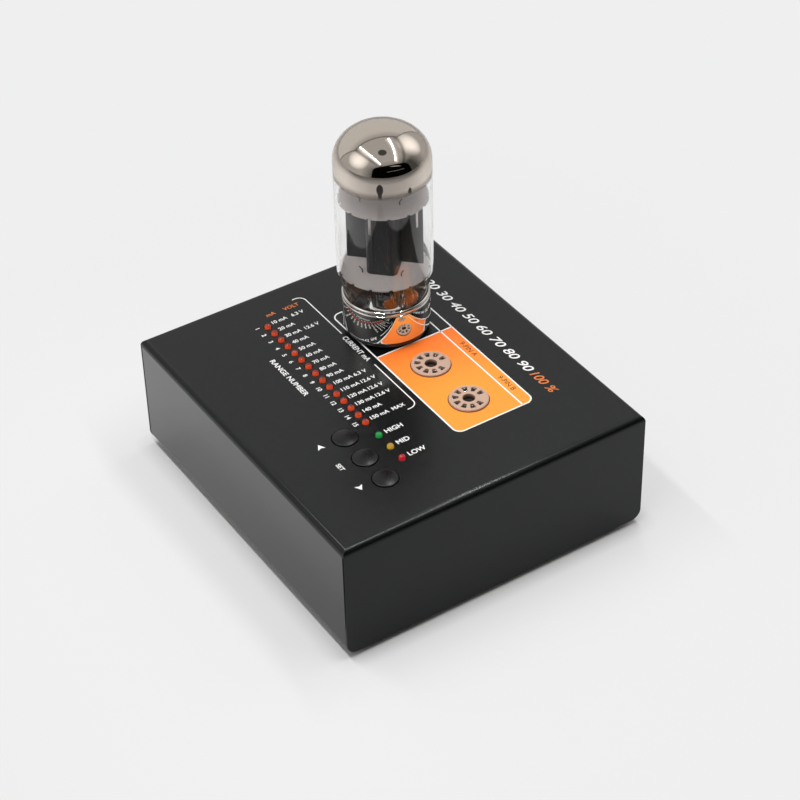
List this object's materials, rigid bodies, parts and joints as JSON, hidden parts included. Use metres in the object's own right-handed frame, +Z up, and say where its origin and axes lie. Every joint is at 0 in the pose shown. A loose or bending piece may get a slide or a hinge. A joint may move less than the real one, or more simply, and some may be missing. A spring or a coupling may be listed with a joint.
{
  "type": "tube tester",
  "caption": "Bench tester for electron tubes: low black folded-steel case whose top panel carries tube sockets, indicator lamps and push buttons, with a glass output tube plugged in.",
  "frame": {"origin": "under the middle of the case, on the surface that the feet stand on", "axes": "+X to the right seen from the front, +Y from front to back, +Z up along the tube"},
  "size_m": [0.174, 0.1554, 0.1685],
  "materials": {
    "case_coat": "black powder coat, satin",
    "foot_rubber": "moulded black rubber",
    "screw_zinc": "zinc plated",
    "board_laminate": "green solder resist",
    "white_nylon": "natural nylon",
    "lamp_red": "red diffused lens",
    "lamp_green": "green diffused lens",
    "lamp_amber": "amber diffused lens",
    "button_black": "black moulded plastic, fine texture",
    "switch_black": "black moulded plastic",
    "socket_ceramic": "bisque ceramic, tan pink",
    "core_ferrite": "dark ferrite with tape",
    "capacitor_sleeve": "blue shrink sleeve",
    "heat_sink_metal": "extruded aluminium",
    "wafer_phenolic": "black moulded phenolic",
    "sleeve_chrome": "bright plated metal",
    "tube_glass": "clear blown glass",
    "tube_mica": "coated mica sheet",
    "anode_carbonised": "carbonised nickel sheet, dark grey",
    "cathode_oxide": "white oxide coating",
    "getter_nickel": "bright nickel"
  },
  "bodies": {
    "case": {"top_cover": "case_coat", "chassis_tray": "case_coat", "foot_1": "foot_rubber", "foot_2": "foot_rubber", "foot_3": "foot_rubber", "foot_4": "foot_rubber", "cover_screw_1": "screw_zinc", "cover_screw_2": "screw_zinc", "cover_screw_3": "screw_zinc", "cover_screw_4": "screw_zinc", "main_board": "board_laminate", "board_spacer_1": "white_nylon", "board_spacer_2": "white_nylon", "board_spacer_3": "white_nylon", "board_spacer_4": "white_nylon", "lamp_01": "lamp_red", "lamp_02": "lamp_red", "lamp_03": "lamp_red", "lamp_04": "lamp_red", "lamp_05": "lamp_red", "lamp_06": "lamp_red", "lamp_07": "lamp_red", "lamp_08": "lamp_red", "lamp_09": "lamp_red", "lamp_10": "lamp_red", "lamp_11": "lamp_red", "lamp_12": "lamp_red", "lamp_13": "lamp_red", "lamp_14": "lamp_red", "lamp_15": "lamp_red", "lamp_good": "lamp_green", "lamp_worn": "lamp_amber", "lamp_fail": "lamp_red", "switch_body_up": "switch_black", "switch_body_ok": "switch_black", "switch_body_down": "switch_black", "noval_socket_a": "socket_ceramic", "noval_socket_b": "socket_ceramic", "octal_socket": "socket_ceramic", "power_jack": "switch_black", "transformer": "core_ferrite", "reservoir_capacitor": "capacitor_sleeve", "heat_sink": "heat_sink_metal", "microcontroller": "switch_black"},
    "button_up": {"button_cap_up": "button_black", "switch_plunger_up": "white_nylon"},
    "button_ok": {"button_cap_ok": "button_black", "switch_plunger_ok": "white_nylon"},
    "button_down": {"button_cap_down": "button_black", "switch_plunger_down": "white_nylon"},
    "tube": {"tube_wafer": "wafer_phenolic", "tube_sleeve": "sleeve_chrome", "tube_glass": "tube_glass", "tube_stem": "tube_glass", "tube_mica_lower": "tube_mica", "tube_mica_upper": "tube_mica", "tube_anode": "anode_carbonised", "tube_cathode": "cathode_oxide", "tube_getter": "getter_nickel"}
  },
  "joints": [
    {"name": "button_up_press", "type": "slide", "parent": "case", "child": "button_up", "axis": [0, 0, -1], "range_m": [0, 0.001], "stiffness_N_per_m": 400, "springref_m": -0.001},
    {"name": "button_ok_press", "type": "slide", "parent": "case", "child": "button_ok", "axis": [0, 0, -1], "range_m": [0, 0.001], "stiffness_N_per_m": 400, "springref_m": -0.001},
    {"name": "button_down_press", "type": "slide", "parent": "case", "child": "button_down", "axis": [0, 0, -1], "range_m": [0, 0.001], "stiffness_N_per_m": 400, "springref_m": -0.001},
    {"name": "tube_lift", "type": "slide", "parent": "case", "child": "tube", "axis": [0, 0, 1], "range_m": [0, 0.03]}
  ]
}
